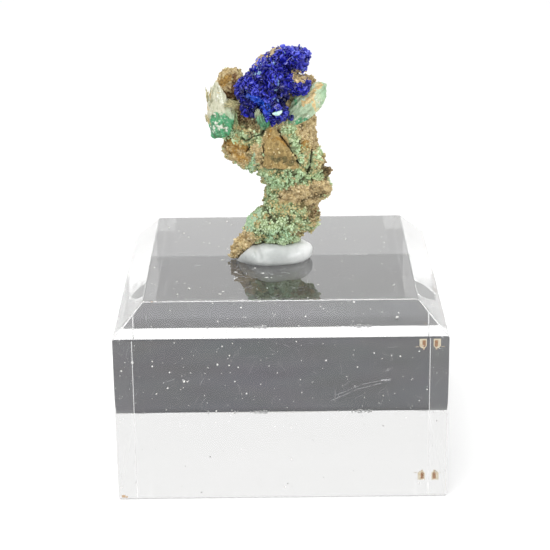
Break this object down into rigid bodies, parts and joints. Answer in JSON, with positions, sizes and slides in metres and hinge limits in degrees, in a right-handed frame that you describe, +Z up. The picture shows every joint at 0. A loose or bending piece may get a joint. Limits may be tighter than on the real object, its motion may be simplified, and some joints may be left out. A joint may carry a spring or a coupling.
{
  "type": "azurite specimen",
  "caption": "Small azurite and malachite specimen on a slender brown matrix stem, stuck with white putty on a clear block with a bevelled top.",
  "frame": {"origin": "middle of the block's underside", "axes": "+Z up through the specimen, +Y towards the back, +X to the right as seen from the front"},
  "size_m": [0.0636, 0.0636, 0.0823],
  "materials": {
    "clear_acrylic": "polished, clear and see-through, refractive index 1.49",
    "white_putty": "soft translucent white putty, slightly shiny",
    "limonite_matrix": "rough brown and ochre, crusted with pale green malachite grains",
    "azurite": "small glassy deep blue crystals",
    "malachite_blade": "fibrous, cream and mint with emerald and ochre patches",
    "malachite_tuft": "fine dark green needles with pale tips"
  },
  "bodies": {
    "root": {"display_block": "clear_acrylic", "mounting_putty": "white_putty", "matrix": "limonite_matrix", "azurite_cluster": "azurite", "left_malachite_blade": "malachite_blade", "right_malachite_blade": "malachite_blade", "malachite_tuft": "malachite_tuft"}
  },
  "joints": []
}
